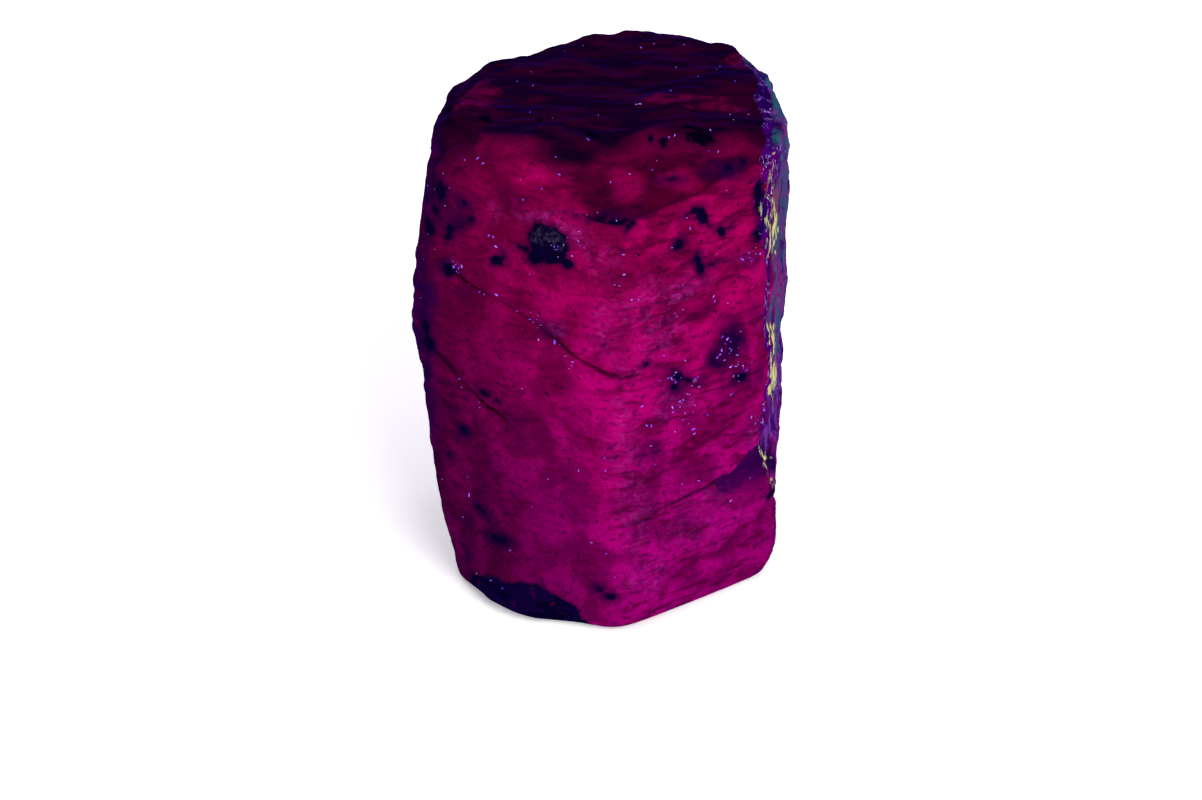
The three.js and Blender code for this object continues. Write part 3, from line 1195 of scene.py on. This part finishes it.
net = threads(mottle(1.7, 5, (1.5, 1.0, 0.35), 1.0), 0.020, 0.004)
net = times(net, ramp(mottle(1.3, 4), 0.42, 0.56))
rim = ramp(mark("rim"), 1.2, 0.6)
rim_highlight_ground = mix(ramp(veins, 0.4, 0.6), RIM_VIOLET, RIM_DARK)
# a painted highlight along the edge
colour = mix(times(rim, 0.85), colour, rim_highlight_ground)
rim_height = maths("MULTIPLY_ADD", patches, 3.0, height_up)
rim_reflection_yellow = times(ramp(rim_height, *RIM_YELLOW_COMES), ramp(rim_height, *RIM_YELLOW_GOES))
# painted highlight threads, yellow near the top as painted reflection
colour = mix(times(rim, net), colour, mix(rim_reflection_yellow, HIGHLIGHT_THREAD_PALE, REFLECTION_THREAD_YELLOW))

# Painted reflection of a lamp, as yellow threads of mica, in three bands behind the rim. A band
# has four limits:
# where it begins and ends along the face, and its foot and its top. Each is given by the places
# between which it eases in and, if it doesn't ease from 0 to 1, by what it goes between.
REFLECTION_YELLOW = (0.44, 0.44, 0.17, 1)
REFLECTION_BANDS = [
    ((0.1, 0.4), (1.9, 1.2), (23.2, 24.4), (27.4, 25.8, 0.1, 1.0)),
    ((0.5, 0.9), (3.8, 1.2, 0, 0.85), (15.4, 16.6), (20.0, 18.8)),
    ((0.3, 0.7), (1.4, 0.9, 0, 0.5), (10.0, 11.0), (13.4, 12.6)),
]
RIM_TO_BANDS = 0.8  # how far behind the face's first corner the bands are measured from

from_rim = maths("SUBTRACT", mark("along_right"), RIM_TO_BANDS)
from_rim = maths("MULTIPLY_ADD", veins, 1.6, from_rim)
reflection_banded = 0.0
for begins, ends, foot, top in REFLECTION_BANDS:
    band = times(ramp(from_rim, *begins), ramp(from_rim, *ends))
    band = times(times(band, ramp(broken_height, *foot)), ramp(broken_height, *top))
    reflection_banded = maths("MAXIMUM", reflection_banded, band)
reflection_banded = times(reflection_banded, mark("right_side"))
reflection_noise = mottle(2.4, 7, (1.4, 1.4, 0.3), 0.5)
reflection_strings = ramp(maths("MULTIPLY_ADD", reflection_banded, 0.17, reflection_noise), 0.61, 0.69)
# painted reflection of a lamp, in yellow strings
colour = mix(times(reflection_strings, ramp(reflection_banded, 0, 0.2)), colour, REFLECTION_YELLOW)

# The fine relief, and the gloss: dull, since the whole skin is finely frosted, with a
# faint violet bloom.
RELIEF_DEPTH = 0.12 * MM
RUBY_IOR = 1.77
BLOOM = (0.12, 0.02, 1.0, 1)

relief = maths("ADD", times(fine, 0.5), times(veins, 1.5))
relief = maths("MULTIPLY_ADD", times(streaks, lines), -1.5, relief)
relief = maths("MULTIPLY_ADD", scuffed, 0.5, relief)
relief = maths("MULTIPLY_ADD", times(strings, mark("rind")), 3.0, relief)
bump = add_node(tree, "Bump", {"Height": relief, "Strength": 0.8, "Distance": RELIEF_DEPTH})
surface = add_node(
    tree,
    "BsdfPrincipled",
    {
        "Base Color": colour,
        "Roughness": ramp(fine, 0.3, 0.7, 0.38, 0.6),
        "IOR": RUBY_IOR,
        "Specular IOR Level": 0.0,
        "Sheen Weight": 0.09,
        "Sheen Roughness": 0.3,
        "Sheen Tint": BLOOM,
        "Normal": bump.outputs[0],
    },
)
add_node(tree, "OutputMaterial", {"Surface": surface.outputs[0]})

crystal.data.materials.clear()
crystal.data.materials.append(ruby)
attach(crystal, "root")
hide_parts("ruby_crystal")

# ---------------------------------------------------------------------------
# Flakes of mica, which the crystal grew in. They lie flat or a little raised in its
# surface, in cracks and dusky spots most of all, and their pale, bright colour is a painted glint.

# Where the flakes that show most lie, by face: along and up.
FLAKES = {
    "front_left": [
        (8.6, 18.4), (8.3, 18.35), (6.3, 17.8), (5.5, 17.5), (5.3, 17.4), (4.9, 16.5), (4.0, 16.5),
        (9.3, 18.7), (7.4, 18.6), (9.6, 6.0), (9.7, 7.1), (5.5, 6.4), (6.5, 3.8), (8.9, 1.6),
        (7.5, 1.9), (0.6, 20.4), (0.3, 20.4), (8.1, 21.7), (7.6, 21.2), (4.1, 22.1), (3.3, 22.3),
        (0.9, 10.5), (0.9, 9.7), (0.4, 3.4), (0.9, 4.7), (10.1, 19.6), (9.6, 19.7), (2.9, 21.7),
    ],
    "front_right": [
        (6.3, 18.3), (6.4, 18.0), (6.9, 15.8), (7.2, 15.6), (6.4, 14.8), (8.1, 15.8), (4.9, 14.0),
        (7.2, 12.5), (7.3, 12.3), (1.7, 12.1), (2.0, 12.0), (4.1, 11.8), (4.7, 11.1), (4.8, 10.8),
        (2.0, 10.8), (5.0, 14.1), (3.1, 14.5), (0.5, 22.1), (9.2, 20.1), (8.0, 20.1), (3.5, 21.8),
        (4.7, 22.6), (0.5, 23.8), (3.6, 11.2), (1.4, 13.3), (7.4, 6.0), (0.9, 19.5), (8.9, 10.5),
        (2.8, 15.9), (6.6, 14.9), (6.9, 14.5), (7.3, 14.0), (7.7, 13.9), (8.2, 13.8), (7.5, 13.4),
        (3.3, 14.4), (3.6, 14.7), (4.7, 13.6), (5.2, 13.4), (3.4, 12.7), (3.9, 12.9),
    ],
}
# Where they lie in swarms: face, along, up, how far they spread, and how many.
SWARMS = [
    ("front_right", 7.2, 15.0, 0.8, 10),
    ("front_right", 8.0, 13.6, 0.7, 9),
    ("front_right", 3.5, 14.4, 0.4, 7),
    ("front_right", 4.9, 14.0, 0.3, 6),
    ("front_right", 4.3, 12.6, 0.7, 9),
    ("front_right", 3.7, 18.4, 1.4, 7),
    ("front_right", 8.5, 20.2, 0.6, 5),
    ("front_left", 9.9, 19.5, 0.5, 9),
    ("front_left", 5.2, 17.4, 0.5, 6),
    ("front_left", 3.4, 16.0, 1.0, 6),
    ("front_left", 3.9, 22.0, 0.5, 6),
    ("front_left", 2.6, 23.0, 0.9, 8),
    ("front_left", 11.8, 23.6, 1.6, 7),
    ("front_left", 12.0, 20.0, 1.4, 4),
    ("left", 4.0, 17.0, 1.5, 9),
    ("back_left", 6.0, 13.0, 2.0, 12),
    ("back_right", 4.0, 16.0, 1.8, 12),
]
# Those that show on the rough end: x and y.
TOP_FLAKES = [
    (4.0, 5.0), (7.2, 2.3), (6.8, -1.9), (5.7, -4.3), (5.6, -5.5), (6.1, -5.7), (2.0, -0.7),
    (1.8, -0.7), (-3.9, -1.9), (-2.7, -2.9), (7.8, -1.6), (3.5, -5.0), (3.8, -4.9), (-3.9, 3.8),
    (-1.1, 7.9), (2.1, 8.1), (-0.8, -5.4), (-2.3, -8.1), (-3.2, -8.7), (-6.6, -6.4), (-6.3, -7.1),
    (-7.3, -6.0), (1.4, -7.4), (2.6, -7.0), (0.4, -8.2),
]
# How many more are strewn over each side, and over the rough end.
STREWN_FLAKES = {
    "front_left": 16,
    "front_right": 20,
    "right": 30,
    "back_right": 30,
    "back_left": 36,
    "left": 40,
}
TOP_STREWN = 16
TOP_SPREAD = (8, 9)  # how far from the middle they go, sideways and back

# One flake: its shortest, longest and usual length, and its width as a share of that.
FLAKE_LENGTH = (0.05, 0.19, 0.09)
FLAKE_WIDTH = (0.2, 0.42)
FLAKE_THICKNESS = 0.03
FLAKE_SIDES = 6
FLAKE_LEAN = 0.4
FLAKE_RAISED = 0.01
# How much bigger or smaller than usual: those listed, on the sides and on the end, and
# those in a swarm.
BIG, BIG_ON_TOP, SMALL = 1.35, 1.3, 0.7
OUTSIDE = 5  # how far outside the crystal its surface is looked for from

scatter = random.Random(11)
skin_tree = BVHTree.FromPolygons(
    [vertex.co / MM for vertex in crystal.data.vertices],
    [polygon.vertices for polygon in crystal.data.polygons],
)
flake_mesh = bmesh.new()


def lay_flake(from_outside, inward, scale):
    """Lays one flake where a line from outside first meets the crystal."""
    place, normal, _, _ = skin_tree.ray_cast(from_outside, inward)
    if place is None:
        return
    length = scale * scatter.triangular(*FLAKE_LENGTH)
    width = length * scatter.uniform(*FLAKE_WIDTH)
    lean = Vector([scatter.uniform(-FLAKE_LEAN, FLAKE_LEAN) for _ in range(3)])
    lie = (normal + lean).to_track_quat("Z", "Y").to_matrix().to_4x4()
    turn = Matrix.Rotation(scatter.uniform(0, math.tau), 4, "Z")
    shape = Matrix.Diagonal((length / 2, width / 2, 1, 1))
    bottom = bmesh.ops.create_circle(
        flake_mesh, cap_ends=True, radius=1, segments=FLAKE_SIDES
    )["verts"]
    cap = bottom[0].link_faces[:]
    top = bmesh.ops.extrude_face_region(flake_mesh, geom=cap, use_keep_orig=True)["geom"]
    risen = [part for part in top if isinstance(part, bmesh.types.BMVert)]
    bmesh.ops.translate(flake_mesh, verts=risen, vec=(0, 0, FLAKE_THICKNESS))
    seat = Matrix.Translation(place + normal * FLAKE_RAISED)
    matrix = Matrix.Scale(MM, 4) @ seat @ lie @ turn @ shape
    bmesh.ops.transform(flake_mesh, matrix=matrix, verts=bottom + risen)


def lay_on_face(name, along, up, scale=1.0):
    """Lays one flake at a place on a face."""
    face = faces[name]
    lay_flake(face.point(along, up, OUTSIDE), -face.out, scale)


def lay_on_top(x, y, scale=1.0):
    """Lays one flake at a place on the rough end."""
    lay_flake(Vector((x, y, height + OUTSIDE)), Vector((0, 0, -1)), scale)


for face, places in FLAKES.items():
    for along, up in places:
        lay_on_face(face, along, up, BIG)
for face, along, up, spread, count in SWARMS:
    for _ in range(count):
        place = scatter.gauss(along, spread / 2), scatter.gauss(up, spread / 2)
        lay_on_face(face, *place, SMALL)
for x, y in TOP_FLAKES:
    lay_on_top(x, y, BIG_ON_TOP)
for face, count in STREWN_FLAKES.items():
    for _ in range(count):
        along = scatter.uniform(0.3, faces[face].width - 0.3)
        lay_on_face(face, along, scatter.uniform(1, height - 2))
side, back = TOP_SPREAD
for _ in range(TOP_STREWN):
    x, y = scatter.uniform(-side, side), scatter.uniform(-back, back)
    lay_on_top(x, y)
bmesh.ops.recalc_face_normals(flake_mesh, faces=flake_mesh.faces)

flakes = bpy.data.objects.new("mica_flakes", bpy.data.meshes.new("mica_flakes"))
flake_mesh.to_mesh(flakes.data)
flake_mesh.free()
bpy.context.scene.collection.objects.link(flakes)

# The mica's colour is a painted glint, from blue-violet to lilac. From here it is the material in
# hand.
GLINT_BLUE = (0.15, 0.04, 0.90, 1)
GLINT_LILAC = (0.38, 0.18, 1.0, 1)
MICA_IOR = 1.58

mica, tree = new_material("mica")
in_mm = millimetres(tree)
# a painted glint, pale blue-violet to lilac
glint_colour = mix(ramp(mottle(0.9, 3), 0.4, 0.6), GLINT_BLUE, GLINT_LILAC)
surface = add_node(
    tree,
    "BsdfPrincipled",
    {
        "Base Color": glint_colour,
        "Roughness": ramp(mottle(6.0), 0.3, 0.7, 0.15, 0.4),
        "IOR": MICA_IOR,
        "Specular IOR Level": 0.25,
    },
)
add_node(tree, "OutputMaterial", {"Surface": surface.outputs[0]})
flakes.data.materials.append(mica)
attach(flakes, "root")

# ---------------------------------------------------------------------------
# The table that the crystal stands on: a plain matt sheet, so pale and bright that it
# fades into the white room behind it.

TABLE_HALF_WIDTH = 1.5
TABLE_WHITE = (0.93, 0.92, 0.91, 1)
WHITE = (1, 1, 1, 1)

floor_mesh = bmesh.new()
bmesh.ops.create_grid(floor_mesh, x_segments=1, y_segments=1, size=TABLE_HALF_WIDTH)
floor = bpy.data.objects.new("floor", bpy.data.meshes.new("floor"))
floor_mesh.to_mesh(floor.data)
floor_mesh.free()
bpy.context.scene.collection.objects.link(floor)
pale, tree = new_material("pale_table")
surface = add_node(
    tree,
    "BsdfPrincipled",
    {
        "Base Color": TABLE_WHITE,
        "Roughness": 0.9,
        "Specular IOR Level": 0.1,
        "Emission Color": WHITE,
        "Emission Strength": 0.35,
    },
)
add_node(tree, "OutputMaterial", {"Surface": surface.outputs[0]})
floor.data.materials.append(pale)

# ---------------------------------------------------------------------------
# The studio: three square soft lamps that look at the crystal's middle, and a white
# room, of which the crystal itself sees only a dim violet.

# Lamps: azimuth and elevation in degrees, distance and width in metres, and power.
LAMPS = {
    "key": (26, 30, 0.5, 0.30, 2.6),
    "fill": (-45, 20, 0.6, 0.40, 0.3),
    "overhead": (0, 90, 0.7, 0.9, 5.0),
}
VIOLET_AIR = (0.35, 0.15, 1.0, 1)
VIOLET_AIR_STRENGTH = 0.12


def direction(azimuth, elevation):
    """The way from the crystal to a place round it, in degrees from its front."""
    turn, rise = math.radians(azimuth), math.radians(elevation)
    level = math.cos(rise)
    return Vector((math.sin(turn) * level, -math.cos(turn) * level, math.sin(rise)))


for name, (azimuth, elevation, distance, size, power) in LAMPS.items():
    lamp = bpy.data.lights.new(name, "AREA")
    lamp.size = size
    lamp.energy = power
    light = bpy.data.objects.new(name, lamp)
    toward = direction(azimuth, elevation)
    light.location = Vector((0, 0, high.z / 2)) + distance * toward
    light.rotation_euler = toward.to_track_quat("Z", "Y").to_euler()
    bpy.context.scene.collection.objects.link(light)

world = bpy.data.worlds.new("studio")
world.use_nodes = True
bpy.context.scene.world = world
tree = world.node_tree
tree.nodes.clear()
backdrop = add_node(tree, "Background", {"Color": WHITE, "Strength": 1.0})
air = add_node(tree, "Background", {"Color": VIOLET_AIR, "Strength": VIOLET_AIR_STRENGTH})
seen = add_node(tree, "LightPath", {}).outputs["Is Camera Ray"]
room = add_node(tree, "MixShader", {0: seen, 1: air.outputs[0], 2: backdrop.outputs[0]})
add_node(tree, "OutputWorld", {"Surface": room.outputs[0]})

# ---------------------------------------------------------------------------
# The camera stands well back, with a long lens, and looks down a little at the
# crystal's front edge.

LOOK_DOWN = 25  # degrees
CAMERA_FAR = 260 * MM
LOOK_AT = Vector((-0.1, 0, 8.45)) * MM
SENSOR_WIDTH = 36
LENS = 140.2

camera = bpy.data.objects.new("camera", bpy.data.cameras.new("camera"))
camera.data.sensor_width = SENSOR_WIDTH
camera.data.lens = LENS
backwards = direction(0, LOOK_DOWN)
camera.location = LOOK_AT + CAMERA_FAR * backwards
camera.rotation_euler = backwards.to_track_quat("Z", "Y").to_euler()
bpy.context.scene.collection.objects.link(camera)
bpy.context.scene.camera = camera
bpy.context.scene.view_settings.view_transform = "Standard"
